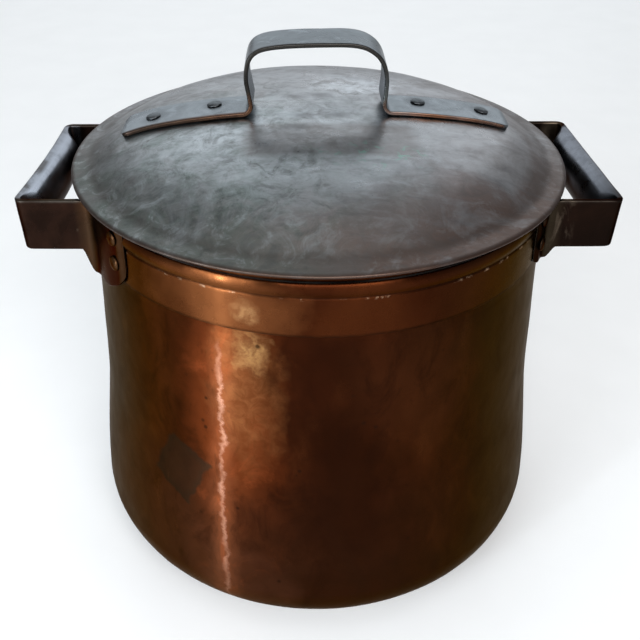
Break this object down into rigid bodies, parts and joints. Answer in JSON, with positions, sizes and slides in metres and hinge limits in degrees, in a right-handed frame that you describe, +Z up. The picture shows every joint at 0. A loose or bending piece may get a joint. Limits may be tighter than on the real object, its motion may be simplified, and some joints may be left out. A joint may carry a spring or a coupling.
{
  "type": "lidded copper soup pot",
  "caption": "Hand-made copper soup pot with a domed lift-off lid, riveted strap handles at the sides and a riveted strap handle on the lid.",
  "frame": {"origin": "centre of the flat base, on the surface that the pot stands on", "axes": "+Z up along the pot's axis, +X towards the right side handle, -Y towards the viewer"},
  "size_m": [0.3968, 0.344, 0.379],
  "materials": {
    "aged_copper": "hand-hammered copper, darkened by age, satin",
    "band_copper": "brighter worn copper, satin",
    "dark_strap": "forged strap with a dark brown-black patina",
    "lid_grey": "grey oxidised tinned copper with green-grey mottling",
    "lid_strap": "grey oxidised strap with coppery worn edges",
    "rivet_copper": "dull copper rivets"
  },
  "bodies": {
    "pot": {"left_handle": "dark_strap", "neck_band": "band_copper", "pot_body": "aged_copper", "right_handle": "dark_strap", "rim_roll": "band_copper", "rivet_left_back_lower": "rivet_copper", "rivet_left_back_upper": "rivet_copper", "rivet_left_front_lower": "rivet_copper", "rivet_left_front_upper": "rivet_copper", "rivet_right_back_lower": "rivet_copper", "rivet_right_back_upper": "rivet_copper", "rivet_right_front_lower": "rivet_copper", "rivet_right_front_upper": "rivet_copper"},
    "lid": {"lid_dome": "lid_grey", "lid_handle": "lid_strap", "lid_ring": "lid_grey", "lid_rivet_left_inner": "lid_strap", "lid_rivet_left_outer": "lid_strap", "lid_rivet_right_inner": "lid_strap", "lid_rivet_right_outer": "lid_strap"}
  },
  "joints": [
    {"name": "lid_lift", "type": "slide", "parent": "pot", "child": "lid", "axis": [0, 0, 1], "range_m": [0, 0.25]}
  ]
}
